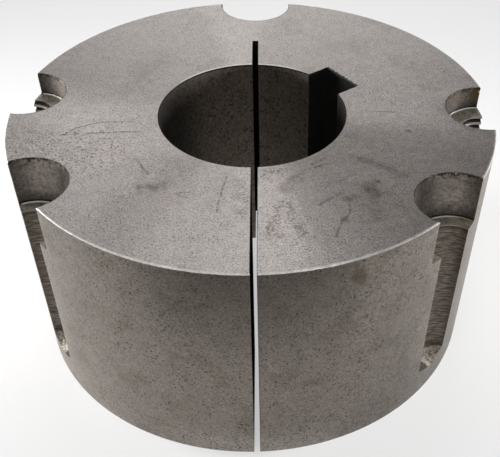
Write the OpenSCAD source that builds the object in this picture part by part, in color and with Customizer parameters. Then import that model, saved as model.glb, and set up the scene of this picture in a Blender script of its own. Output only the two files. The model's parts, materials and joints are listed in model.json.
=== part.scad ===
// Split taper bushing that clamps a hub on a shaft.
// It stands on its small end, with the bore axis on Z and the slit facing -Y.
// The taper closes on the shaft as cap screws pull the bushing into its hub. Each screw runs in
// a hole that is half in the bushing and half in the hub, so the bushing's rim carries half-holes.
// Sizes are millimetres and degrees. Angles round the bushing are counted from the slit.

/* [Tapered body] */
// Diameter of the large end, before its edge is broken
large_d = 127; // [110:0.5:160]
// Length along the bore
length = 63.5; // [50:0.5:90]
// Included angle of the outside taper
taper_angle = 8; // [4:0.5:12]
// Width of the broken edge round the large end
large_edge = 0.3; // [0.1:0.1:2]
// Width of the broken edge round the small end
small_edge = 0.2; // [0.1:0.1:2]

/* [Bore] */
// Diameter of the bore
bore_d = 49.2; // [36:0.1:60]
// Width of the chamfer at each end of the bore
bore_edge = 0.2; // [0.1:0.1:2]

/* [Keyway] */
// Width of the keyway
key_w = 12.7; // [8:0.1:16]
// Depth of the keyway, measured at its side wall
key_depth = 6.4; // [3:0.1:9]
// Angle from the slit to the keyway
key_angle = 125.3; // [100:0.1:150]

/* [Slit and relief slot] */
// Width of the saw cut, which is the slit on one side and the relief slot on the other
saw_w = 1.5; // [1:0.1:3]
// Depth of the relief slot beyond the bore
relief_depth = 13.9; // [6:0.1:16]
// Distance by which the saw cut passes beside the bore axis
saw_offset = 0.6; // [0:0.1:2]
// Angle by which the saw cut is turned from the slit's own direction
saw_turn = 0.5; // [-1:0.1:2]

/* [Half-holes for the cap screws] */
// Distance of the half-holes' centres inside the large end's edge
hole_inset = 1.8; // [0:0.1:3]
// Diameter of the seats for the screw heads
seat_d = 20.6; // [16:0.1:23]
// Radius of the corner at the foot of the seats
seat_corner = 0.5; // [0.1:0.1:1.2]
// Depth of the cap screws' seats below the large end
screw_seat_depth = 13.4; // [8:0.1:20]
// Diameter of the plain holes for the cap screws
screw_hole_d = 13.1; // [9:0.1:15]
// Height above the small end at which the holes' straight wall ends and the drill's point begins
floor_h = 8.8; // [6:0.1:16]
// Included angle of the drill's point, which leaves each blind hole a conical floor
point_angle = 135; // [118:1:150]
// Angle from the slit to the right screw
screw_right_angle = 51.4; // [32:0.1:65]
// Angle from the slit to the back screw
screw_back_angle = 179; // [155:0.1:200]
// Angle from the slit to the left screw
screw_left_angle = 298.8; // [290:0.1:328]

/* [Half-holes for the jack screws] */
// Depth of the jack screws' seats below the large end
jack_seat_depth = 6.4; // [3:0.1:14]
// Diameter of the tapped holes, at the crests of their thread
jack_hole_d = 10.8; // [8:0.1:14]
// Angle from the slit to the right jack screw
jack_right_angle = 90.5; // [88:0.1:128]
// Angle from the slit to the left jack screw
jack_left_angle = 259.7; // [227:0.1:264]

/* [Hidden] */
$fn = 180;
iron = [0.47, 0.45, 0.42];
slit_direction = -90;
large_r = large_d / 2;
bore_r = bore_d / 2;
taper_slope = tan(taper_angle / 2);
small_r = large_r - length * taper_slope;
hole_circle_r = large_r - hole_inset;
screw_angles = [screw_right_angle, screw_back_angle, screw_left_angle];
jack_angles = [jack_right_angle, jack_left_angle];
// The keyway's floor, from the bore axis: its side walls start where they meet the round bore
key_floor = sqrt(bore_r * bore_r - key_w * key_w / 4) + key_depth;
// How far a cut runs past the face that it opens
past = 1;

// Turned blank: half its section, from the bore to the taper, revolved about the bore axis
module turned_blank() {
    rotate_extrude()
        polygon([
            [bore_r, bore_edge],
            [bore_r + bore_edge, 0],
            [small_r - small_edge, 0],
            [small_r + small_edge * taper_slope, small_edge],
            [large_r - large_edge * taper_slope, length - large_edge],
            [large_r - large_edge, length],
            [bore_r + bore_edge, length],
            [bore_r, length - bore_edge]
        ]);
}

// One pass of a saw cuts the slit through the wall and, across the bore, the relief slot
module saw_cut() {
    relief_end = bore_r + relief_depth;
    rotate(slit_direction - saw_turn)
        translate([-relief_end, saw_offset - saw_w / 2, -past])
            cube([relief_end + large_r + past, saw_w, length + 2 * past]);
}

// Keyway: a slot from the bore axis out to its floor, right through from end to end
module key_cut() {
    rotate(slit_direction + key_angle)
        translate([0, -key_w / 2, -past])
            cube([key_floor, key_w, length + 2 * past]);
}

// Cut of the seat's end mill, whose corner is rounded: half its section, revolved about its own axis
module seat_cut(depth) {
    rotate_extrude()
        difference() {
            square([seat_d / 2, depth]);
            difference() {
                translate([seat_d / 2 - seat_corner, 0])
                    square([seat_corner + past, seat_corner]);
                translate([seat_d / 2 - seat_corner, seat_corner])
                    circle(seat_corner);
            }
        }
}

// Cut of the drill, with its conical point downwards
module drill_cut(hole_d, depth) {
    point_h = hole_d / 2 / tan(point_angle / 2);
    cylinder(h = depth, d = hole_d);
    translate([0, 0, -point_h])
        cylinder(h = point_h, d1 = 0, d2 = hole_d);
}

// Half-hole on the rim: a flat seat for the screw's head, and below it a blind hole for its shank
module half_hole(angle, seat_depth, hole_d) {
    rotate(slit_direction + angle)
        translate([hole_circle_r, 0, 0]) {
            translate([0, 0, length - seat_depth])
                seat_cut(seat_depth + past);
            translate([0, 0, floor_h])
                drill_cut(hole_d, length - seat_depth - floor_h + past);
        }
}

module taper_bushing() {
    color(iron)
        difference() {
            turned_blank();
            saw_cut();
            key_cut();
            for (angle = screw_angles) half_hole(angle, screw_seat_depth, screw_hole_d);
            for (angle = jack_angles) half_hole(angle, jack_seat_depth, jack_hole_d);
        }
}

taper_bushing();
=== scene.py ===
import json
from math import cos, pi, radians, sin, tan

import bmesh
import bpy
import numpy as np
from mathutils import Matrix, Vector


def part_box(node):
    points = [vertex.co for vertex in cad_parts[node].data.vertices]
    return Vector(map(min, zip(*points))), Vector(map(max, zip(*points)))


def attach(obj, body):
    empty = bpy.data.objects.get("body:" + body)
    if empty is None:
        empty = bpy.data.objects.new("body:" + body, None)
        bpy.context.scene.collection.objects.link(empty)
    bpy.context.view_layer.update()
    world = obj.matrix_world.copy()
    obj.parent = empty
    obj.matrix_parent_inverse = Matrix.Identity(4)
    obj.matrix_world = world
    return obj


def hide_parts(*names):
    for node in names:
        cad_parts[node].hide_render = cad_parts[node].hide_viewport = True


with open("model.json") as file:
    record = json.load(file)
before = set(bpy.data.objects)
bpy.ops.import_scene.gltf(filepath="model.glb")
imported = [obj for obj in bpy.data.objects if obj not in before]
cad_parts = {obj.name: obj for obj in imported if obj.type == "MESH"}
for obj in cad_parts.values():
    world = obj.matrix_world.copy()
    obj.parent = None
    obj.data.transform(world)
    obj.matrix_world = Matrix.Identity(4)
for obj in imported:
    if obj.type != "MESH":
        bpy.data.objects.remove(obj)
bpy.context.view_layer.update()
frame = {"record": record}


# Camera: it looks down on the bushing from the slit's side.
# It stands close, so the large end looks much wider than the small end.
MM = 0.001
view_azimuth = radians(-2.692)
view_elevation = radians(34.915)
view_roll = radians(0.71)
view_distance = 277.77 * MM
view_target = Vector((12.644, 0, 51.122)) * MM
# The photograph's frame, its focal length and the point that the lens points at, in pixels
photo_w, photo_h = 500, 457
focal_px = 1027.2
lens_point_px = (300, 150)

towards_camera = Vector((
    sin(view_azimuth) * cos(view_elevation),
    -cos(view_azimuth) * cos(view_elevation),
    sin(view_elevation),
))
level_right = Vector((cos(view_azimuth), sin(view_azimuth), 0))
level_up = towards_camera.cross(level_right)
camera_right = cos(view_roll) * level_right + sin(view_roll) * level_up
camera_up = cos(view_roll) * level_up - sin(view_roll) * level_right
camera_data = bpy.data.cameras.new("camera")
camera_data.sensor_width = 36
camera_data.lens = camera_data.sensor_width * focal_px / photo_w
camera_data.shift_x = (photo_w / 2 - lens_point_px[0]) / photo_w
camera_data.shift_y = (lens_point_px[1] - photo_h / 2) / photo_w
camera_data.clip_start, camera_data.clip_end = 0.01, 20
camera = bpy.data.objects.new("camera", camera_data)
camera.matrix_world = Matrix.Translation(view_target + view_distance * towards_camera) @ Matrix((
    camera_right, camera_up, towards_camera)).transposed().to_4x4()
bpy.context.collection.objects.link(camera)
bpy.context.scene.camera = camera


# Floor: a plain pale tabletop, far wider than the view. It is a light table whose white top glows softly,
# so the shadows on it stay faint.
def linked(name, data):
    """Puts new data in the scene as an object at the origin."""
    thing = bpy.data.objects.new(name, data)
    bpy.context.collection.objects.link(thing)
    return thing


floor_half = 3.0
floor_mesh = bpy.data.meshes.new("floor")
floor_mesh.from_pydata(
    [(x * floor_half, y * floor_half, 0) for x, y in ((-1, -1), (1, -1), (1, 1), (-1, 1))],
    [], [(0, 1, 2, 3)])
floor = linked("floor", floor_mesh)
floor_paint = bpy.data.materials.new("pale tabletop")
floor_paint.use_nodes = True
paint = floor_paint.node_tree.nodes["Principled BSDF"]
paint.inputs["Base Color"].default_value = (0.4, 0.4, 0.4, 1)
paint.inputs["Emission Color"].default_value = (1, 1, 1, 1)
paint.inputs["Emission Strength"].default_value = 0.5
paint.inputs["Roughness"].default_value = 0.9
floor_mesh.materials.append(floor_paint)


# Studio light: soft panels above and behind, and a low panel with a narrow beam at each side.
# They light the taper from both sides and leave its front darker, as soft boxes round a table do.
lit_point = Vector((0, 0, 0.03))


def panel(name, place, size, power, spread=180):
    """A square light at a place in metres that faces the lit point, with a beam spread degrees wide."""
    data = bpy.data.lights.new(name, "AREA")
    data.size = size
    data.energy = power
    data.spread = radians(spread)
    lamp = linked(name, data)
    lamp.location = place
    lamp.rotation_mode = "QUATERNION"
    lamp.rotation_quaternion = (Vector(place) - lit_point).to_track_quat("Z", "Y")
    lamp.visible_camera = False


panel("overhead back panel", (0, 0.45, 0.6), 0.5, 1.0)
panel("overhead front panel", (0, -0.45, 0.6), 0.5, 2.2)
panel("back panel", (0, 0.6, 0.2), 0.38, 0.95)
panel("left panel", (-0.388, 0.097, 0.05), 0.16, 0.82, spread=60)
panel("right panel", (0.4, 0.014, 0.05), 0.16, 0.5, spread=60)
world = bpy.data.worlds.new("studio")
world.use_nodes = True
world.node_tree.nodes["Background"].inputs["Color"].default_value = (1, 1, 1, 1)
world.node_tree.nodes["Background"].inputs["Strength"].default_value = 0.12
bpy.context.scene.world = world
bpy.context.scene.view_settings.view_transform = "Standard"


# Turned blank: a grey iron ring that stands on its small end, with an 8 degree included taper outside.
# It is turned and faced on a lathe, and the broken edges are worn bright.
node_low, node_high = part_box("taper_bushing")
length = (node_high.z - node_low.z) / MM
large_r = 63.5
taper_slope = tan(radians(4))
bore_r = next(mount["dims"]["r_mm"] for mount in frame["record"]["mounts"] if mount["name"] == "bore")
rim_break, bore_break, foot_break = 0.3, 0.2, 0.2


def cone_r(z):
    """The outside radius at a height: the large end's, less the taper's slope times the depth below it."""
    return large_r - (length - z) * taper_slope


# Half-holes on the rim: each is half in the bushing and half in the hub that it clamps. An end mill cuts
# a flat seat, and a drill a blind hole with a conical floor below it. The jack screws' holes are tapped,
# with 13 threads to the inch.
hole_circle_r = 61.7
seat_r = 10.3
screw_hole_r, jack_hole_r = 6.55, 5.4
floor_z = 8.8
point_slope = 1 / tan(radians(135 / 2))
screw_seat_z, jack_seat_z = length - 13.4, length - 6.4
seat_corner = 0.5
mouth_break, lip_break = 0.15, 0.15
threads = 19
thread_pitch = 25.4 / 13
thread_depth = 0.54 * thread_pitch
thread_start_z = jack_seat_z - threads * thread_pitch
# A thread's crest ends and its root lies at these shares of the pitch
crest_end, root = 0.25, 0.625
slit_direction = -pi / 2
# Each half-hole's angle from the slit, in degrees, in order round the rim
half_holes = {
    "screw right": 51.4, "jack right": 90.5, "screw back": 179.0, "jack left": 259.7, "screw left": 298.8}


def arc_steps(n):
    """Sine and cosine of n even steps over a right angle, from 0."""
    turn = np.linspace(0, pi / 2, n)
    return np.sin(turn), np.cos(turn)


# The skin's rows climb from the small end to the large end. Each row says how high it runs at the
# screws' half-holes and at the jack screws', how much it is a hole's or a seat's outline,
# how far its radii are eased at an edge, how far the broken edges at both ends draw it in,
# and how much it follows the thread's helix.
row_table = []


def rows(screw_z, jack_z, hole, seat, hole_ease=0, seat_ease=0, foot=0, rim=0, helix=0):
    """Adds rows. Each value is a number or an array with one entry a row."""
    values = np.broadcast_arrays(screw_z, jack_z, hole, seat, hole_ease, seat_ease, foot, rim, helix)
    row_table.append(np.stack(values, -1).astype(float).reshape(-1, len(values)))


# The foot's broken edge, the taper below the holes, and the blind floors in to the holes' walls
up, out = arc_steps(5)
foot_z = foot_break * (1 - out)
rows(foot_z, foot_z, 0, 0, foot=1 - up)
low = np.linspace(foot_break, floor_z, 6)[1:]
rows(low, low, 0, 0)
rows(floor_z, floor_z, np.linspace(0, 1, 7)[1:], 0)
# The walls of the holes. A jack screw's is plain below its threads, whose rows follow their crests and roots
plain_share = 0.2
lower = np.linspace(0, 1, 9)[1:]
thread_rows = np.arange(threads)[:, None] + np.array([0, crest_end, root])
thread_rows = np.append(thread_rows.ravel()[1:], threads - mouth_break / thread_pitch)
share = np.concatenate([lower * plain_share, plain_share + (1 - plain_share) * thread_rows / threads])
drilled_top = screw_seat_z - mouth_break
rows(
    floor_z + (drilled_top - floor_z) * share,
    np.concatenate([
        floor_z + (thread_start_z - floor_z) * lower, thread_start_z + thread_pitch * thread_rows]),
    1, 0, seat_ease=seat_corner, helix=np.concatenate([lower, np.ones(len(thread_rows))]))
# The holes' mouths, the ledges, the corners at the seats' feet, the seats' walls and the rim's broken edge
rise, fall = arc_steps(4)
rows(screw_seat_z - mouth_break * (1 - rise[1:]), jack_seat_z - mouth_break * (1 - rise[1:]), 1, 0,
     hole_ease=mouth_break * (1 - fall[1:]), seat_ease=seat_corner)
seat_share = np.linspace(0, 1, 5)[1:]
rows(screw_seat_z, jack_seat_z, 1 - seat_share, seat_share, hole_ease=mouth_break, seat_ease=seat_corner)
rise, fall = arc_steps(5)
rows(screw_seat_z + seat_corner * (1 - fall[1:]), jack_seat_z + seat_corner * (1 - fall[1:]), 0, 1,
     seat_ease=seat_corner * (1 - rise[1:]))
wall_share = np.linspace(0, 1, 6)[1:]
wall_top = length - rim_break
rows(
    screw_seat_z + seat_corner + (wall_top - screw_seat_z - seat_corner) * wall_share,
    jack_seat_z + seat_corner + (wall_top - jack_seat_z - seat_corner) * wall_share, 0, 1)
rim_z = wall_top + rim_break * rise[1:]
rows(rim_z, rim_z, 0, 1, rim=1 - fall[1:])
screw_z, jack_z, hole_share, seat_row_share, hole_ease, seat_ease, foot_in, rim_in, helix = (
    column[:, None] for column in np.concatenate(row_table).T)


def drawn_in(foot, rim):
    """How far each row is drawn into the metal where the edge is broken by foot and rim millimetres."""
    return foot * foot_in + rim * rim_in


def ease(a, b, t):
    """The value on the way from a to b, where the share t of the way is gone."""
    return a + (b - a) * t


def on_cone(a0, a1, z0, z1):
    """A stretch of the outside, between two angles and two heights: the cone's radius at the height there,
    less the broken edges, turned by the angle there."""
    def at(t):
        z = ease(z0, z1, t)
        return (cone_r(z) - drawn_in(foot_break, rim_break)) * np.exp(1j * ease(a0, a1, t)), z
    return at


def straight(start, end):
    """A flat wall between two complex points: the start, plus a share of the way to the end."""
    def at(t):
        return ease(start, end, t), screw_z + 0 * t
    return at


def on_bore(a0, a1):
    """A stretch of the bore between two angles: its radius, plus the broken edges, turned by the angle."""
    def at(t):
        return (bore_r + drawn_in(bore_break, bore_break)) * np.exp(1j * ease(a0, a1, t)), screw_z + 0 * t
    return at


def thread_r(z, turn):
    """Radius of the tapped hole: a crest a quarter of the pitch wide, then straight flanks to a sharp root,
    shifted up by one pitch for each turn about the hole. It fades out below the last thread."""
    phase = ((z - thread_start_z) / thread_pitch - turn / (2 * pi)) % 1
    groove = np.interp(phase, [0, crest_end, root, 1], [0, 0, 1, 0])
    return jack_hole_r + thread_depth * groove * np.clip((z - thread_start_z) / thread_pitch, 0, 1)


def meets_cone(r, z):
    """Where a circle of radius r on the hole circle meets the cone: the angles about the bore and about
    the hole, from the triangle between the two centres and the crossing."""
    outer = cone_r(z) - drawn_in(foot_break, rim_break)
    x = (outer**2 - r**2 + hole_circle_r**2) / (2 * hole_circle_r)
    return np.arccos(np.clip(x / outer, -1, 1)), np.arccos(np.clip((hole_circle_r - x) / r, -1, 1))


# The drill leaves faint rings in its wall
drill_mark_depth = 0.035
random = np.random.default_rng(3)
drill_marks = random.normal(0, drill_mark_depth, (len(screw_z), 1))
# The lips are the outer shares of a seat's outline
lip_share = 0.12
# Heights and crossings that depend on each other are worked out in turn, so many times
settling_steps = 4


def half_hole(name, kind):
    """Three stretches that cross a half-hole: lip, hole and lip. They follow the cone, the hole or the seat,
    as kind says. Wall and seat are arcs about the hole's axis, from one crossing with the cone to the other."""
    middle = slit_direction + radians(half_holes[name])
    centre = hole_circle_r * np.exp(1j * middle)
    tapped = name.startswith("jack")
    z = jack_z if tapped else screw_z
    seat = seat_r - seat_ease + drawn_in(0, lip_break)
    hole = (jack_hole_r if tapped else screw_hole_r) + hole_ease
    seat_bore_angle, seat_turn = meets_cone(seat, z)
    top = jack_seat_z - mouth_break

    def hole_z(turn):
        """Height at a turn about the hole's axis: threads climb by one pitch a turn, up to the mouth."""
        lifted = np.clip(z + helix * thread_pitch * turn / (2 * pi), floor_z, top)
        return np.where(helix > 0, lifted, z) if tapped else z + 0 * turn

    def hole_radius(turn):
        """Radius at that turn: the thread's, or the drill's with its marks."""
        if tapped:
            return thread_r(hole_z(turn), turn) + hole_ease
        return hole + drill_marks * (helix > 0) + 0 * turn

    def end_turn(side):
        """The turn at which a row meets the cone on one side: each step starts from the last one's height."""
        turn = side * pi / 2
        for _ in range(settling_steps):
            turn = side * meets_cone(hole_radius(turn), hole_z(turn))[1]
        return turn

    first, last = end_turn(1.0), end_turn(-1.0)
    first_z, last_z = hole_z(first), hole_z(last)
    first_bore_angle = -meets_cone(hole_radius(first), first_z)[0]
    last_bore_angle = meets_cone(hole_radius(last), last_z)[0]

    def round_hole(t):
        turn = ease(first, last, t)
        return centre + hole_radius(turn) * np.exp(1j * (middle + pi + turn)), hole_z(turn)

    def round_seat(t0, t1):
        def at(t):
            turn = seat_turn * (1 - 2 * ease(t0, t1, t))
            return centre + seat * np.exp(1j * (middle + pi + turn)), z + 0 * turn
        return at

    if kind == "seat":
        return [round_seat(0, lip_share), round_seat(lip_share, 1 - lip_share), round_seat(1 - lip_share, 1)]
    start, end = middle - seat_bore_angle, middle + seat_bore_angle
    left, right = middle + first_bore_angle, middle + last_bore_angle
    across = round_hole if kind == "hole" else on_cone(left, right, first_z, last_z)
    return [on_cone(start, left, z, first_z), across, on_cone(right, end, last_z, z)]


# Bore with its keyway, and the cut of one pass of a saw: the slit that lets the bushing close and, across
# the bore, a relief slot. The bore is bored, the keyway is broached, and the saw passed a little beside
# the bore axis.
saw_half, saw_offset = 0.75, 0.6
saw_direction = slit_direction - radians(0.5)
relief_direction = saw_direction + pi
relief_end = bore_r + 13.9
key_half = 12.7 / 2
key_floor = (bore_r**2 - key_half**2) ** 0.5 + 6.4
key_direction = slit_direction + radians(125.3)
slot_break, key_break = 0.12, 0.12
bore_edge_r = bore_r + drawn_in(bore_break, bore_break)


def wall_point(direction, radius, side):
    """Where a flat wall, at the distance side beside a direction, meets a circle about the bore axis."""
    return ((radius**2 - side**2) ** 0.5 + 1j * side) * np.exp(1j * direction)


def slot(direction, half, end, edge, offset=0.0):
    """Three flat walls round a slot that is cut outwards from the bore: far side, end and near side.
    The slot's middle lies at an offset beside its direction."""
    half = half + drawn_in(edge, edge)
    far, near = offset + half, offset - half
    far_out, near_out = (
        (end + drawn_in(edge, edge) + 1j * side) * np.exp(1j * direction) for side in (far, near))
    return [straight(wall_point(direction, bore_edge_r, far), far_out), straight(far_out, near_out),
            straight(near_out, wall_point(direction, bore_edge_r, near))]


def slot_angles(direction, half, edge, offset=0.0):
    """The angles about the bore axis at which a slot's far and near side meet the bore."""
    half = half + drawn_in(edge, edge)
    return (direction + np.arcsin((offset + side) / bore_edge_r) for side in (half, -half))


def degrees_between(a0, a1):
    """The mean over the rows of the turn from one angle to another, in degrees."""
    return float(np.degrees(np.mean(a1 - a0)))


# The taper has a column for about each so many degrees
column_degrees = 1.5


def outline(kind):
    """The whole outline as (feature, columns, corner size after it, stretch), anticlockwise round the
    outside, in along the slit's left wall, clockwise round the bore and out along its right wall."""
    outer_r = cone_r(screw_z) - drawn_in(foot_break, rim_break)
    slit_half = saw_half + drawn_in(slot_break, slot_break)
    slit_right, slit_left = saw_offset + slit_half, saw_offset - slit_half
    parts = []
    angle, height = saw_direction + np.arcsin(slit_right / outer_r), screw_z
    for name, degrees in half_holes.items():
        middle = slit_direction + radians(degrees)
        z = jack_z if name.startswith("jack") else screw_z
        lip = meets_cone(seat_r - seat_ease + drawn_in(0, lip_break), z)[0]
        columns = 4 + round(degrees_between(angle, middle - lip) / column_degrees)
        parts.append(("taper", columns, 0.2, on_cone(angle, middle - lip, height, z)))
        left, across, right = half_hole(name, kind)
        parts += [
            ("lip " + name, 8, 0.1, left), ("hole " + name, 46, 0.1, across), ("lip " + name, 8, 0.2, right)]
        angle, height = middle + lip, z
    end = saw_direction + 2 * pi + np.arcsin(slit_left / outer_r)
    columns = 4 + round(degrees_between(angle, end) / column_degrees)
    parts.append(("taper", columns, 0.12, on_cone(angle, end, height, screw_z)))
    parts.append(("slit", 14, 0.12, straight(
        wall_point(saw_direction, outer_r, slit_left), wall_point(saw_direction, bore_edge_r, slit_left))))
    relief_far, relief_near = slot_angles(relief_direction, saw_half, slot_break, -saw_offset)
    key_far, key_near = slot_angles(key_direction, key_half, key_break)
    slit_angle = saw_direction + 2 * pi + np.arcsin(slit_left / bore_edge_r)
    parts.append(("bore", 60, 0.12, on_bore(slit_angle, relief_far)))
    relief_walls = slot(relief_direction, saw_half, relief_end, slot_break, -saw_offset)
    parts += [("slot", n, 0.12, wall) for n, wall in zip((10, 3, 10), relief_walls)]
    parts.append(("bore", 16, 0.15, on_bore(relief_near, key_far)))
    key_walls = slot(key_direction, key_half, key_floor, key_break)
    parts += [("keyway", n, 0.15, wall) for n, wall in zip((16, 36, 16), key_walls)]
    parts.append(("bore", 44, 0.12, on_bore(key_near, saw_direction + np.arcsin(slit_right / bore_edge_r))))
    parts.append(("slit", 14, 0.12, straight(
        wall_point(saw_direction, bore_edge_r, slit_right), wall_point(saw_direction, outer_r, slit_right))))
    return parts


def sampled(parts):
    """Points and heights of an outline, as arrays of rows by columns. Each stretch is cut short by its
    corners' sizes, and a quadratic curve whose control point is the sharp corner rounds each corner."""
    points, heights, features = [], [], []
    bend = np.array([[0.25, 0.5, 0.75]])
    step = 1e-3
    for k, (feature, columns, corner, at) in enumerate(parts):
        before = parts[k - 1][2]
        following = parts[(k + 1) % len(parts)][3]
        start, a_little_on = at(np.array([[0.0]]))[0], at(np.array([[step]]))[0]
        end, a_little_back = at(np.array([[1.0]]))[0], at(np.array([[1 - step]]))[0]
        t0 = before * step / abs(a_little_on - start)
        t1 = 1 - corner * step / abs(a_little_back - end)
        p, z = at(t0 + (t1 - t0) * np.linspace(0, 1, columns)[None, :])
        next_start, next_on = following(np.array([[0.0]]))[0], following(np.array([[step]]))[0]
        into = following(corner * step / abs(next_on - next_start))
        a, b = p[:, -1:], into[0]
        round_p = (1 - bend) ** 2 * a + 2 * bend * (1 - bend) * end + bend**2 * b
        round_z = ease(z[:, -1:], into[1], bend)
        points += [p, round_p]
        heights += [z, round_z]
        features += [feature] * (columns + bend.size)
    return np.concatenate(points, 1), np.concatenate(heights, 1), np.array(features)


layers = {kind: sampled(outline(kind)) for kind in ("cone", "hole", "seat")}
features = layers["cone"][2]
shares = {"cone": 1 - hole_share - seat_row_share, "hole": hole_share, "seat": seat_row_share}
points = sum(shares[kind] * layers[kind][0] for kind in layers)
heights = sum(shares[kind] * layers[kind][1] for kind in layers)

# The drill's point leaves each blind hole a conical floor, so the floor's edge dips where it meets the taper.
# Below it the taper's rows close up, and the floor's rows run straight from that edge to the hole's wall.
# The columns of a half-hole are numbered from -1 at the lip far from the slit to 1 at the lip near it.
around_hole = np.zeros(points.shape[1], int)
across = np.zeros(points.shape[1])
on_taper = (hole_share + seat_row_share + foot_in == 0) & (screw_z <= floor_z)
below = np.flatnonzero(on_taper[:, 0])
on_floor = np.flatnonzero(((hole_share > 0) & (helix == 0) & (screw_z == floor_z))[:, 0])
for number, (name, degrees) in enumerate(half_holes.items()):
    columns = np.flatnonzero(np.char.endswith(features, name))
    around_hole[columns] = 2 if name.startswith("jack") else 1
    slit_side = 1 if degrees > 180 else -1
    across[columns] = np.linspace(-1, 1, len(columns)) * slit_side
    centre = hole_circle_r * np.exp(1j * (slit_direction + radians(degrees)))
    radius = jack_hole_r if name.startswith("jack") else screw_hole_r
    outward = points[below[-1], columns] / abs(points[below[-1], columns])
    edge_z = np.full(len(columns), floor_z)
    for _ in range(3 * settling_steps):
        edge_z = floor_z - point_slope * np.clip(radius - abs(cone_r(edge_z) * outward - centre), 0, None)
    taper_part, floor_part = np.ix_(below, columns), np.ix_(on_floor, columns)
    closed = foot_break + (heights[taper_part] - foot_break) * (edge_z - foot_break) / (floor_z - foot_break)
    heights[taper_part] = closed
    turned = points[taper_part]
    points[taper_part] = cone_r(closed) * turned / abs(turned)
    run = ease(cone_r(edge_z) * outward, layers["hole"][0][floor_part], hole_share[on_floor])
    points[floor_part] = run
    heights[floor_part] = floor_z - point_slope * np.clip(radius - abs(run - centre), 0, None)


# Finishes. The iron is one casting, and each face shows what cut it: turned ends and taper, a bored bore,
# sawn slots, milled seats and drilled holes. Brown stains, dark grime and worn bright edges lie over that.
class Tone:
    """A socket of a material's node tree. + - * ** and abs() on it add Math nodes."""

    def __init__(self, tree, socket=None):
        self.tree, self.socket = tree, socket

    def node(self, kind, settings, sockets, output=0):
        """Adds any node: first its settings, then the values or links of its sockets, by name or number."""
        added = self.tree.nodes.new("ShaderNode" + kind)
        for name, value in settings.items():
            setattr(added, name, value)
        for name, value in sockets.items():
            if isinstance(value, Tone):
                self.tree.links.new(value.socket, added.inputs[name])
            else:
                added.inputs[name].default_value = value
        return Tone(self.tree, added.outputs[output])

    def math(self, operation, *values):
        """A Math node on this and other numbers."""
        return self.node("Math", {"operation": operation}, dict(enumerate((self, *values))))

    def __add__(self, other):
        return self.math("ADD", other)

    def __sub__(self, other):
        return self.math("SUBTRACT", other)

    def __mul__(self, other):
        return self.math("MULTIPLY", other)

    def __pow__(self, other):
        return self.math("POWER", other)

    def __abs__(self):
        return self.math("ABSOLUTE")

    def __rsub__(self, other):
        return self.node("Math", {"operation": "SUBTRACT"}, {0: other, 1: self})

    __radd__ = __add__
    __rmul__ = __mul__

    def vector(self, operation, *values, output=0):
        """A Vector Math node on this and other vectors. Output 1 is its number, such as a length."""
        return self.node("VectorMath", {"operation": operation}, dict(enumerate((self, *values))), output)

    def scaled(self, factor):
        """A vector times a number."""
        return self.node("VectorMath", {"operation": "SCALE"}, {0: self, "Scale": factor})

    def part(self, axis):
        """One of a vector's numbers."""
        return self.node("SeparateXYZ", {}, {0: self}, "XYZ".index(axis))

    def towards(self, direction):
        """How far a vector reaches in a direction about the bore axis."""
        return self.vector("DOT_PRODUCT", (cos(direction), sin(direction), 0), output=1)

    def ramp(self, low, high):
        """A smooth step from 0 where this is low to 1 where it is high."""
        return self.node("MapRange", {"interpolation_type": "SMOOTHSTEP"}, {0: self, 1: low, 2: high})

    def blend(self, first, second):
        """The first colour where this is 0 and the second where it is 1."""
        return self.node("Mix", {"data_type": "RGBA"}, {0: self, 6: rgba(first), 7: rgba(second)}, 2)

    def weathered_and_shaded(self, contrast, darkest=0.25):
        """A colour times a contrast, which is never less than darkest. The contrast is grain, and on the taper
        also painted light and shade.
        """
        return self.scaled(contrast.math("MAXIMUM", darkest))

    def noise(self, size, detail=2, roughness=0.5, output=0):
        """Noise from 0 to 1 over places in mm, with grains of about the given size."""
        return self.node("TexNoise", {}, {
            "Vector": self, "Scale": 1 / size, "Detail": detail, "Roughness": roughness}, output)

    def wander(self, size, detail, reach):
        """Noise vectors of up to about half of reach, either way, which shift the places of a pattern."""
        return self.noise(size, detail, 0.6, 1).vector("SUBTRACT", (0.5, 0.5, 0.5)).scaled(reach)

    def dots(self, spacing, radius, share):
        """1 in small round dots, a share of the cells of a pattern with the given spacing in mm."""
        settings, sockets = {}, {"Vector": self, "Scale": 1 / spacing}
        distance = self.node("TexVoronoi", settings, sockets)
        chosen = self.node("TexVoronoi", settings, sockets, 1).part("X")
        return distance.ramp(radius / spacing, 0.5 * radius / spacing) * chosen.ramp(share + 0.01, share)

    def specks(self, size, low, high):
        """1 in ragged specks of about the given size, which crowd together in places."""
        return self.noise(size, 2, 0.6).ramp(low, high) * (self.noise(6, 2).ramp(0.35, 0.6) * 0.6 + 0.4)

    def strokes(self, corners):
        """Distance in mm to a line through corners, whose nearest point is found by projection."""
        nearest = None
        for (x0, y0), (x1, y1) in zip(corners, corners[1:]):
            run = (x1 - x0, y1 - y0, 0)
            along = self.vector("SUBTRACT", (x0, y0, 0))
            share = self.node("Math", {"operation": "MULTIPLY", "use_clamp": True}, {
                0: along.vector("DOT_PRODUCT", run, output=1), 1: 1 / (run[0]**2 + run[1]**2)})
            step = self.node("VectorMath", {"operation": "SCALE"}, {0: run, "Scale": share})
            reach = along.vector("DISTANCE", step, output=1)
            nearest = reach if nearest is None else nearest.math("MINIMUM", reach)
        return nearest


def rgba(colour):
    """A colour socket's value: a colour with alpha, or a link as it is."""
    return colour if isinstance(colour, Tone) else (*colour, 1)


finishes = {}


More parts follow.
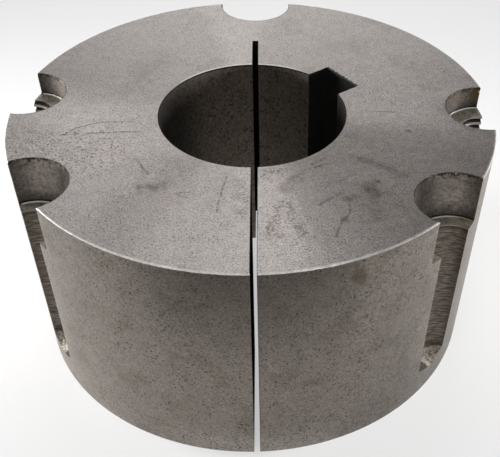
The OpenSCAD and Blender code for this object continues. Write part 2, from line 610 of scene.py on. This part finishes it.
def iron(name, roughness, metallic, anisotropic=0.0, specular=0.5):
    """Starts a finish: its shader's own values, and places on the piece in mm."""
    material = bpy.data.materials.new(name.replace(" ", "_"))
    material.use_nodes = True
    tree = material.node_tree
    shader = tree.nodes["Principled BSDF"]
    shader.inputs["Roughness"].default_value = roughness
    shader.inputs["Metallic"].default_value = metallic
    shader.inputs["Anisotropic"].default_value = anisotropic
    shader.inputs["Specular IOR Level"].default_value = specular
    finishes[name] = material
    place = Tone(tree).node("TexCoord", {}, {}, "Object").scaled(1 / MM)
    return place, shader


def coat(shader, colour, height, depth_mm=0.05, metallic=None):
    """Links a finish's colour, and bumps that are depth_mm high where height is 1."""
    tree = colour.tree
    tree.links.new(colour.socket, shader.inputs["Base Color"])
    bump = height.node("Bump", {}, {"Height": height, "Distance": depth_mm * MM, "Strength": 1.0})
    tree.links.new(bump.socket, shader.inputs["Normal"])
    if metallic is not None:
        tree.links.new(metallic.socket, shader.inputs["Metallic"])


def grain_of(place, fine=0.45):
    """The iron's grain: fine noise over coarser noise, near 0 on average."""
    return place.noise(fine, 2, 0.7) * 1.7 + place.noise(2.2, 2, 0.6) * 0.5 - 1.1


# Large end: faced on the lathe, then handled for years. Oil and dirt left brown smudges,
# and other parts left a few fine scratches. Painted highlight and painted shade lie over it in fans.
faced_grey, faced_brown = (0.26, 0.2365, 0.224), (0.19, 0.168, 0.15)
# Painted highlight and painted shade of the sheen fans
sheen_highlight, sheen_shade = (0.46, 0.425, 0.405), (0.075, 0.065, 0.058)
stain_brown, rust_brown, scratch_brown = (0.05, 0.038, 0.024), (0.12, 0.078, 0.05), (0.035, 0.028, 0.021)
# Painted highlight for the back of the bore's edge, and the worn outer rim's colour
bore_edge_highlight, rim_bright = (0.46, 0.44, 0.42), (0.5, 0.475, 0.45)
# Grime, whose colour one broad mark also uses as painted shade, and black for pits and burrs
grime_and_shade, pit_black, burr_black = (0.045, 0.038, 0.031), (0.025, 0.021, 0.018), (0.008, 0.007, 0.006)
# Scratches, smudges and brown marks: the lines they follow in mm from the axis, half their width, how soft
# and how strong
scratches = [
    ([(-48.3, -9.5), (-43.8, -9), (-28.2, -8.4)], 0.1, 0.3, 0.75),
    ([(-47.8, -9.4), (-45.2, -6.4), (-39.4, -3.8), (-30.7, -3.7)], 0.1, 0.25, 0.65),
    ([(-28.6, -20.6), (-25.2, -26.9)], 0.15, 0.3, 0.6),
    ([(-19.4, -34.9), (-14.7, -34.3)], 0.08, 0.25, 0.6),
    ([(-18.2, -35.1), (-15.1, -36.5)], 0.08, 0.25, 0.5),
    ([(-6.3, -28.5), (-8, -38.5), (-8.2, -42)], 0.12, 0.3, 0.55),
    ([(31.3, -0.3), (37.6, -0.9)], 0.08, 0.25, 0.8),
    ([(29, -31), (30.7, -31.8)], 0.25, 0.4, 0.9),
    ([(14.5, -23.8), (17.6, -21.6)], 0.2, 0.4, 0.75),
    ([(15.2, -25.2), (18.8, -23.5)], 0.2, 0.4, 0.75),
    ([(11.9, -26.6), (13.7, -25.7)], 0.1, 0.3, 0.5),
    ([(20.4, -31.3), (24.7, -28.2)], 0.1, 0.4, 0.4),
    ([(30.3, -39.3), (35.2, -41.4)], 0.1, 0.3, 0.4),
    ([(28.4, -35.4), (28, -45.6)], 1.1, 0.7, 0.34),
    ([(26.5, -22), (35, -27.6)], 0.3, 0.9, 0.4),
    ([(15.3, -40.1), (20.8, -35.6), (22.5, -38), (22.3, -43.2), (19.9, -46.8), (18.5, -51.7)],
     0.15, 0.4, 0.6),
]
smudges_and_shade = [
    ([(-27.5, -33.2), (-21.5, -31.4)], 0.6, 2.0, 0.5),
    # Painted shade, not a smudge: a broad, faint dark fan of the turned face's sheen
    ([(-19, -23.2), (-32.2, -39.5)], 0.5, 7.0, 0.2),
    ([(25.3, -20.9), (34.1, -26.8), (36.5, -28.5)], 0.7, 1.4, 0.5),
    ([(27.6, -33.5), (28.7, -36.2)], 1.2, 1.2, 0.8),
    ([(7.6, -33.3), (11.9, -28.2)], 0.8, 1.8, 0.45),
    ([(21, -45.4), (21.2, -45.9)], 0.4, 1.1, 0.75),
    ([(22, -38.4), (24.4, -36.9), (25.7, -40.7)], 0.5, 1.6, 0.5),
    ([(41.5, 25.6), (45.5, 23.2)], 1.0, 4.0, 0.2),
    ([(44, -11.7), (49.6, -16.8), (54.5, -22.1)], 1.5, 6.0, 0.12),
    ([(53, 0), (58, -8)], 1.0, 7.0, 0.35),
]
brown_marks = [
    ([(-56.8, -8.8), (-51.1, -14.8), (-45.8, -20.5)], 2.0, 8.0, 0.35),
    ([(-2.8, -31.4), (-2.3, -42.1)], 0.5, 3.0, 0.5),
    ([(2.2, -28), (5, -27)], 0.8, 2.4, 0.8),
    ([(3.1, -51.6), (6.5, -39.8), (7.5, -38.7), (11.2, -50.1)], 0.5, 1.4, 0.7),
    ([(4, -52.3), (6.2, -51)], 0.5, 1.2, 0.6),
    ([(23.7, -11.8), (23.8, -11.9)], 0.2, 0.7, 0.9),
    ([(39.9, -9.8), (40.2, -9.9)], 0.2, 0.9, 0.9),
]
# Fans that spread out from the bore: where they point, how far to each side they start and are full,
# in degrees, and how strong they are near the bore and near the rim. They paint the turned face's sheen:
# the bright ones are painted highlight, and the dark ones painted shade.
sheen_highlight_fans = [
    (203, 46, 14, 0.38, 0.8), (195, 25, 10, 0.0, 0.5), (262, 28, 8, 0.35, 0.6), (272, 14, 5, 0.35, 0.35),
    (96, 12, 4, 0.25, 0.2)]
sheen_shade_fans = [(-40, 38, 12, 0.55, 0.55), (229, 20, 8, 0.12, 0.12)]
rust_fan, rust_from_r, rust_full_r = (202, 17, 10), 33, 38
# Painted highlight on the bore's edge: where it points, and how far to each side it starts and is full
bore_edge_highlight_fan = (100, 48, 30)


def marked(place, colour, marks, tint, breakup):
    """Lays marks on a colour: each fades out from its line, broken up where breakup is low."""
    for corners, half_width, soft, strength in marks:
        cover = place.strokes(corners).ramp(half_width + soft, half_width) * breakup * strength
        colour = cover.blend(colour, tint)
    return colour


def fan_cover(facing, degrees, start, full):
    """1 in a fan and 0 outside it. It starts and is full so many degrees to each side of its direction."""
    return facing.towards(radians(degrees)).ramp(cos(radians(start)), cos(radians(full)))


def from_hole_axis(flat, name):
    """Distance in mm from the axis of a half-hole."""
    middle = slit_direction + radians(half_holes[name])
    return flat.vector("DISTANCE", (hole_circle_r * cos(middle), hole_circle_r * sin(middle), 0), output=1)


def faced_end(name, marks=True):
    """Lathe rings and grain, and on the marked end also fans of painted sheen, smudges, stains and scratches.
    """
    place, shader = iron(name, 0.42, 0.85, anisotropic=0.55)
    grain = grain_of(place)
    flat = place.vector("MULTIPLY", (1, 1, 0))
    facing = flat.vector("NORMALIZE")
    radius = flat.vector("LENGTH", output=1)
    rings = radius.node("TexNoise", {"noise_dimensions": "1D"}, {"W": radius, "Scale": 3.0, "Detail": 3.0})
    colour = (place.noise(14, 3).ramp(0.5, 0.72) * 0.5).blend(faced_grey, faced_brown)
    if marks:
        from_bore = radius.ramp(bore_r, 56)
        # Painted highlight and painted shade, in fans like the sheen of a turned face
        for fans, tint in ((sheen_highlight_fans, sheen_highlight), (sheen_shade_fans, sheen_shade)):
            for degrees, start, full, inner, outer in fans:
                strength = from_bore * (outer - inner) + inner
                cover = fan_cover(facing, degrees, start, full) * strength * (place.noise(4, 3) * 0.5 + 0.75)
                colour = cover.blend(colour, tint)
        wander = place.wander(1.6, 3, 1.6)
        wandering = flat.vector("ADD", wander).vector("MULTIPLY", (1, 1, 0))
        broken = place.noise(1.1, 3, 0.6).ramp(0.35, 0.6)
        patchy = place.noise(2.5, 4, 0.65).ramp(0.3, 0.65)
        colour = marked(wandering, colour, smudges_and_shade, grime_and_shade, patchy)
        stain_specks = place.noise(0.6, 2).ramp(0.35, 0.6)
        colour = marked(wandering, colour, brown_marks, stain_brown, patchy * stain_specks)
        rusty = fan_cover(facing, *rust_fan) * radius.ramp(rust_from_r, rust_full_r)
        rusty = rusty * place.noise(0.7, 2).ramp(0.56, 0.66)
        colour = (rusty * 0.7).blend(colour, rust_brown)
        wandering = flat.vector("ADD", wander.scaled(0.3)).vector("MULTIPLY", (1, 1, 0))
        colour = marked(wandering, colour, scratches, scratch_brown, broken)
    pits = place.dots(1.5, 0.22, 0.35)
    specks = place.specks(0.5, 0.57, 0.65)
    colour = (specks * 0.7).blend(colour, grime_and_shade)
    colour = (pits * 0.7).blend(colour, pit_black)
    # The grain shows most at the front right, where a film of oil has caught the dirt
    gain = place.part("X").ramp(-5, 20) * place.part("Y").ramp(30, 5) * 0.27 + 0.87
    colour = colour.weathered_and_shaded(grain * gain + (rings - 0.5) * 0.25 + 1)
    # Its hue varies a little from place to place
    colour = colour.vector("MULTIPLY", place.wander(3, 2, 0.08).vector("ADD", (1, 1, 1)))
    if marks:
        # Painted highlight on the back of the bore's edge. The bright band round the outer rim is wear
        worn_edge_highlight = fan_cover(facing, *bore_edge_highlight_fan) * (radius + place.noise(0.8, 2) * 0.2).ramp(25.55, 25.35)
        colour = (worn_edge_highlight * 0.8).blend(colour, bore_edge_highlight)
        edge = (radius + place.noise(1.1, 3, 0.6) * 0.7).ramp(63.25, 63.5)
        colour = (edge * 0.6).blend(colour, rim_bright)
    # Burrs and dirt along the edges of the half-holes and behind the keyway
    ragged = place.noise(0.7, 2, 0.6)
    for hole_name in half_holes:
        rim_gap = from_hole_axis(flat, hole_name) - seat_r
        colour = ((rim_gap + ragged * 1.2).ramp(0.95, 0.75) * 0.8).blend(colour, pit_black)
    behind_key = flat.towards(key_direction) - key_floor
    beside_key = abs(flat.towards(key_direction + pi / 2))
    key_burr = (behind_key + ragged * 1.6).ramp(1.65, 1.5) * beside_key.ramp(key_half + 0.3, key_half - 0.2)
    colour = (key_burr * behind_key.ramp(-2, -1)).blend(colour, burr_black)
    coat(shader, colour, grain * 0.5 + rings * 0.1 - pits - specks * 0.5, 0.03)


faced_end("large end")
faced_end("small end", marks=False)


# Taper: turned and ground to seat in the hub. It has many small black pits. Brownish painted shade darkens
# its front, most towards the top, and painted light brightens the foot there. Its sharp upper rim is worn
# bright, with a painted highlight that is strongest at the front.
ground_grey, ground_brown = (0.23, 0.2, 0.173), (0.09, 0.07, 0.045)
# Painted shade for the front, painted light for the foot, and the white of the rim's highlight
front_shade_brown, foot_light, rim_white = (0.072, 0.06, 0.05), (0.42, 0.38, 0.345), (0.62, 0.6, 0.57)
# Each spot says its angle from the slit, its height, its half size round and up, and its colour.
taper_spots = [
    (13.2, 62.3, 0.22, 0.45, (0.06, 0.022, 0.014)),
    (21.3, 58.5, 1.6, 2.2, (0.085, 0.07, 0.05)),
    (22.5, 56.5, 1.2, 1.8, (0.10, 0.083, 0.062)),
    (23.8, 51.9, 0.35, 0.2, pit_black),
    (25.2, 51.7, 0.3, 0.15, pit_black),
    (26.6, 51.8, 0.35, 0.18, pit_black),
    (36.5, 50.3, 0.25, 0.3, pit_black),
]
front_shade_direction = slit_direction - radians(1)
shine_direction = slit_direction - radians(4)
place, shader = iron("taper", 0.40, 0.85, anisotropic=0.6)
grain = grain_of(place, 0.5)
flat = place.vector("MULTIPLY", (1, 1, 0))
facing = flat.vector("NORMALIZE")
radius = flat.vector("LENGTH", output=1)
height = place.part("Z")
colour = (place.noise(9, 4, 0.6).ramp(0.48, 0.7) * 0.35).blend(ground_grey, ground_brown)
# Painted shade: the front darkens, most towards the top
towards_front_shade = facing.towards(front_shade_direction)
front_shade = height.ramp(28, 62) * towards_front_shade.ramp(0.86, 0.99) * 0.74 + towards_front_shade.ramp(0.92, 1.0) * 0.13
colour = (front_shade * (place.noise(12, 3) * 0.5 + 0.7)).blend(colour, front_shade_brown)
towards_slit = facing.part("Y") * -1
# Painted light: the foot at the front is lighter
colour = (height.ramp(11, 1) * towards_slit.ramp(0.9, 1.0) * 0.5).blend(colour, foot_light)
for degrees, z, around, tall, tint in taper_spots:
    spot_direction = slit_direction + radians(degrees)
    spot = (cone_r(z) * cos(spot_direction), cone_r(z) * sin(spot_direction), z)
    offset = place.vector("ADD", place.wander(0.8, 2, min(around, tall))).vector("SUBTRACT", spot)
    reach = offset.vector("MULTIPLY", (1 / around, 1 / around, 1 / tall)).vector("LENGTH", output=1)
    colour = (reach.ramp(1.5, 0.6) * 0.85).blend(colour, tint)
pits = place.dots(1.3, 0.3, 0.35)
specks = place.specks(0.55, 0.58, 0.64)
colour = (specks * 0.9).blend(colour, (0.03, 0.026, 0.023))
colour = (pits * 0.75).blend(colour, (0.02, 0.018, 0.016))
# Painted light and shade: the right side grows lighter upwards and the left side downwards, the far right
# is lighter, and the foot at the right is darker
contrast = grain * 0.9 + facing.part("X") * ((height - 32) * 0.004 - 0.12)
contrast = contrast + place.part("X").ramp(36, 44) * 0.12 + 0.88
contrast = contrast - place.part("X").ramp(12, 34) * height.ramp(20, 3) * 0.13
colour = colour.weathered_and_shaded(contrast)
# The rim's broken edge is worn bright, and a painted highlight on it is strongest at the front and the left
from_rim = ((radius - large_r) ** 2 + (height - length) ** 2) ** 0.5 + place.noise(0.8, 3, 0.6) * 0.5
worn_edge_highlight = from_rim.ramp(0.75, 0.5)
towards_shine = facing.towards(shine_direction)
shine = towards_shine.ramp(cos(radians(30)), cos(radians(6))) * 0.75
shine = shine + place.part("X").ramp(-20, -34) * 0.3 + 0.45
shine = shine * (place.noise(1.1, 3, 0.7) * 1.4 + 0.3)
bright = place.node("CombineXYZ", {}, dict(enumerate(rim_white))).scaled(shine)
colour = worn_edge_highlight.blend(colour, bright)
coat(shader, colour, grain * 0.5 - pits - specks * 0.5, 0.03, 0.85 - worn_edge_highlight * 0.85)


# Bore: bored to size, in dark iron. Painted shade darkens it, most at its -X and +X sides.
# Its edge at the large end is dull and black.
place, shader = iron("bore", 0.5, 0.6, anisotropic=0.4, specular=0.25)
grain = grain_of(place.vector("MULTIPLY", (1, 1, 0.7)), 0.6)
height = place.part("Z")
# Painted shade: the bore is darker towards +X, and darkest at its -X and +X sides
colour = place.part("X").ramp(6, -3).blend((0.12, 0.1, 0.082), (0.165, 0.135, 0.108))
colour = place.part("X").ramp(-11, -22).blend(colour, (0.06, 0.053, 0.047))
colour = place.part("X").ramp(19, 24).blend(colour, (0.03, 0.027, 0.024))
colour = (place.specks(0.8, 0.55, 0.65) * 0.8).blend(colour, (0.02, 0.018, 0.015))
colour = colour.weathered_and_shaded(grain * 1.2 + 1, 0.2)
black_edge = (height + place.noise(0.8, 2) * 0.3).ramp(length - 0.3, length - 0.1)
colour = black_edge.blend(colour, (0.012, 0.011, 0.01))
coat(shader, colour, grain, 0.03)


# Keyway and slots: the keyway is broached, and the slit and the relief slot are sawn.
# No light reaches far into them, and their near black colour is painted shade.
for name in ("keyway", "slot"):
    place, shader = iron(name, 0.9, 0.0, specular=0.1)
    grain = grain_of(place)
    # Near black: painted shade
    colour = (grain + 0.5).ramp(0, 1).blend((0.004, 0.0038, 0.0035), (0.012, 0.011, 0.01))
    coat(shader, colour, grain, 0.03)


# Seats and ledges: milled with the end of a cutter, which left a rounded corner at their foot with a painted
# highlight along it. Painted shade darkens the foot and both lips, and small burrs hang over the upper edge.
def towards_slit_lip(place):
    """Where a point lies on its half-hole's wall, from 1 at the lip on the slit's side to -1 at the other."""
    return place.node("Attribute", {"attribute_name": "across"}, {}, 2)


# Painted shade for the lips, the foot and the corner above it, then the painted highlight at the foot and the
# burrs' colour
lip_shade, foot_shade, corner_shade = (0.034, 0.029, 0.025), (0.04, 0.034, 0.029), (0.012, 0.01, 0.008)
foot_line_highlight, line_brass, burr_brown = (0.56, 0.54, 0.5), (0.3, 0.23, 0.12), (0.02, 0.018, 0.013)
# Rust and a fleck of grey paint high on the right jack screw's seat: where they are, in mm, and their colours
rust_place, rust_dark = (61.5, 10.6, 61.3), (0.07, 0.055, 0.024)
fleck_place, fleck_grey = (62.3, 10.6, 62.2), (0.42, 0.4, 0.36)
# Each seat says its height, how far painted shade climbs up it from the foot, where its painted shade at the
# slit's side starts and is full, where the painted shade at the other side starts and is full, and its colour.
seats = [
    ("screw seat", screw_seat_z, 4.5, (-0.4, 0.02), (-0.47, -1.1), (0.256, 0.227, 0.2)),
    ("jack seat", jack_seat_z, 2.5, (-0.6, -0.1), (-0.73, -1.03), (0.08, 0.07, 0.061)),
]
for name, seat_z, shade_height, slit_side, far_side, base in seats:
    place, shader = iron(name, 0.55, 0.6, specular=0.03)
    height = place.part("Z")
    side = towards_slit_lip(place)
    mottled = place.noise(0.8, 3, 0.7) * 1.7 + place.noise(3, 3) * 0.5 - 1.1
    # Painted shade at both lips and up from the foot
    slit_side_shade = side.ramp(*slit_side)
    colour = (slit_side_shade * 0.96).blend(base, lip_shade)
    colour = (side.ramp(*far_side) * 0.75).blend(colour, lip_shade)
    colour = (height.ramp(seat_z + shade_height, seat_z + 0.9) * 0.6).blend(colour, foot_shade)
    stain = place.noise(3, 3, 0.6).ramp(0.52, 0.64) * height.ramp(length - 4.5, length - 1)
    colour = (stain * 0.7).blend(colour, (0.085, 0.062, 0.035))
    colour = colour.weathered_and_shaded(mottled * 1.3 + 1)
    # Painted shade: a dark line just above the foot
    colour = (height.ramp(seat_z + 0.9, seat_z + 0.35) * 0.85).blend(colour, corner_shade)
    # Painted highlight along the corner at the foot, yellowish towards the far lip on the +X side
    foot = height.ramp(seat_z + 0.22, seat_z + 0.08) * abs(towards_slit_lip(place)).ramp(1, 0.95)
    brassy = side.ramp(-0.35, -0.7) * place.part("X").ramp(-10, 10)
    foot_tint = (brassy * height.ramp(length - 8, length - 11)).blend(foot_line_highlight, line_brass)
    colour = (foot * place.noise(1.2, 2).ramp(0.1, 0.35)).blend(colour, foot_tint)
    burr = (height + place.noise(1.5, 3, 0.7) * 6).ramp(length + 2.2, length + 2.8)
    colour = (burr * 0.85).blend(colour, burr_brown)
    if name == "jack seat":
        wandering = place.vector("ADD", place.wander(1.2, 3, 2.5))
        rust = wandering.vector("DISTANCE", rust_place, output=1).ramp(2.3, 1.7) * 0.85
        fleck = place.vector("DISTANCE", fleck_place, output=1).ramp(0.5, 0.3)
        colour = fleck.blend(rust.blend(colour, rust_dark), fleck_grey)
    coat(shader, colour, mottled, 0.04, 0.6 - slit_side_shade * 0.6)
place, shader = iron("ledge", 0.5, 0.7)
grain = grain_of(place) + place.noise(3, 3) - 0.5
colour = (place.noise(1.2, 3, 0.6).ramp(0.55, 0.66) * 0.5).blend((0.3, 0.27, 0.225), (0.1, 0.07, 0.04))
coat(shader, colour.weathered_and_shaded(grain * 1.3 + 1), grain, 0.04)


# Drilled holes: the drill's lands left short bright and dark streaks round the wall. Painted glints lie on
# the -X side. A thin bright line runs along the upper edge, and painted shade darkens a band below it and
# the side that faces away from the slit.
place, shader = iron("drilled", 0.45, 0.75)
height = place.part("Z")
side = towards_slit_lip(place)
streaks = place.vector("MULTIPLY", (0.25, 0.25, 2.6)).noise(1.0, 3, 0.65) * 1.2 - 0.6
fine_streaks = place.vector("MULTIPLY", (0.5, 0.5, 4.5)).noise(0.9, 3, 0.65) - 0.5
streak_dark, streak_bright = (0.045, 0.034, 0.025), (0.215, 0.182, 0.152)
colour = ((streaks + fine_streaks) * 2.1 + 0.45).ramp(0, 1).blend(streak_dark, streak_bright)
# Painted glints, most on the -X side
glints = place.vector("MULTIPLY", (0.3, 0.3, 2.4)).vector("ADD", (7, 3, 5))
glints = glints.noise(0.9, 2, 0.6).ramp(0.56, 0.64)
glints = glints * side.ramp(-0.6, -0.2) * side.ramp(0.9, 0.6) * (place.part("X").ramp(10, -10) * 0.65 + 0.15)
colour = glints.blend(colour, (0.5, 0.46, 0.41))
# Painted shade on the side away from the slit
far_side_shade = side.ramp(-0.35, -0.8) * (place.part("X").ramp(-10, 10) * 0.45 + 0.35)
colour = far_side_shade.blend(colour, (0.03, 0.025, 0.021))
# Painted shade in a band below the upper edge
colour = (height.ramp(screw_seat_z - 1.2, screw_seat_z - 0.3) * 0.7).blend(colour, (0.025, 0.021, 0.017))
colour = height.ramp(screw_seat_z - 0.14, screw_seat_z - 0.06).blend(colour, (0.3, 0.26, 0.2))
coat(shader, colour, streaks, 0.02)


# Tapped holes: painted shade blackens the roots of the jack screws' threads, and a painted highlight
# brightens their crests. The plain wall below the threads is darker.
place, shader = iron("tapped", 0.45, 0.75)
grain = grain_of(place)
flat = place.vector("MULTIPLY", (1, 1, 0))
near_right, near_left = (
    from_hole_axis(flat, name).ramp(jack_hole_r + 0.35, jack_hole_r + 0.08)
    for name in ("jack right", "jack left"))
# Painted highlight on the crests and painted shade in the roots
lit_crest = near_right.math("MAXIMUM", near_left)
threaded = place.part("Z").ramp(thread_start_z - 1, thread_start_z) * 0.7 + 0.3
colour = (lit_crest * threaded * (grain + 0.8)).blend((0.02, 0.017, 0.014), (0.34, 0.31, 0.28))
coat(shader, colour, grain, 0.03)


# Blind floors: left rough by the drill's point, and full of pale grit.
# Painted shade darkens their corners on the slit's side and the edge where they meet the wall.
place, shader = iron("blind floor", 0.6, 0.5, specular=0.05)
side = towards_slit_lip(place)
grain = grain_of(place, 0.7)
colour = (grain * 1.4 + 0.5).ramp(0, 1).blend((0.095, 0.078, 0.062), (0.39, 0.35, 0.3))
# Painted shade in the corner on the slit's side
slit_corner_shade = (side + place.noise(1, 2) * 0.12).ramp(0.2, 0.3) * 0.95
colour = slit_corner_shade.blend(colour, (0.05, 0.045, 0.036))
# Painted shade where the floor meets the wall
colour = (place.part("Z").ramp(floor_z - 0.2, floor_z) * 0.7).blend(colour, (0.05, 0.038, 0.026))
coat(shader, colour, grain, 0.1, 0.5 - slit_corner_shade * 0.5)


# Skin of the bushing: one closed surface over the whole casting. The ends are its last two faces, and each
# quad between two rows and two columns takes the finish of the feature that it lies on.
row_count, column_count = points.shape
corners = np.stack([points.real, points.imag, heights], -1).reshape(-1, 3) * MM
index = np.arange(row_count * column_count).reshape(row_count, column_count)
right = np.roll(index, -1, 1)
quads = np.stack([index[:-1], right[:-1], right[1:], index[1:]], -1).reshape(-1, 4)
skin = bpy.data.meshes.new("taper_bushing_skin")
skin.from_pydata(corners, [], quads.tolist() + [index[-1].tolist(), index[0, ::-1].tolist()])
kinds = [
    "taper", "bore", "keyway", "slot", "drilled", "tapped", "screw seat", "jack seat", "ledge", "blind floor",
    "large end", "small end"]
ends = [kinds.index("large end"), kinds.index("small end")]
strip_hole = (hole_share[1:] + hole_share[:-1]) / 2
strip_seat = (seat_row_share[1:] + seat_row_share[:-1]) / 2
finish_of = np.full((row_count - 1, column_count), kinds.index("taper"))
for feature, kind in (("bore", "bore"), ("keyway", "keyway"), ("slot", "slot"), ("slit", "slot")):
    finish_of[:, features == feature] = kinds.index(kind)
in_hole = np.char.startswith(features, "hole")[None, :]
in_any = (around_hole > 0)[None, :]
for wall, seat, number in (("drilled", "screw seat", 1), ("tapped", "jack seat", 2)):
    here = (around_hole == number)[None, :]
    finish_of[(strip_hole == 1) & in_hole & here] = kinds.index(wall)
    finish_of[(strip_seat == 1) & here] = kinds.index(seat)
finish_of[(strip_seat > 0) & (strip_seat < 1) & in_any] = kinds.index("ledge")
finish_of[(strip_seat == 0) & (strip_hole > 0) & (strip_hole < 1) & in_any] = kinds.index("blind floor")
skin.polygons.foreach_set("material_index", np.append(finish_of.ravel(), ends).astype(np.int32))
for kind in kinds:
    skin.materials.append(finishes[kind])
skin.attributes.new("across", "FLOAT", "POINT").data.foreach_set("value", np.tile(across, row_count))
# Rows that run at one height on the taper are merged there
build = bmesh.new()
build.from_mesh(skin)
bmesh.ops.remove_doubles(build, verts=build.verts, dist=1e-6)
build.to_mesh(skin)
build.free()
skin.set_sharp_from_angle(angle=radians(32))
finish_of_face = np.empty(len(skin.polygons), np.int32)
skin.polygons.foreach_get("material_index", finish_of_face)
skin.polygons.foreach_set("use_smooth", ~np.isin(finish_of_face, ends))
bushing = linked("taper_bushing_skin", skin)
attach(bushing, "root")
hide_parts("taper_bushing")
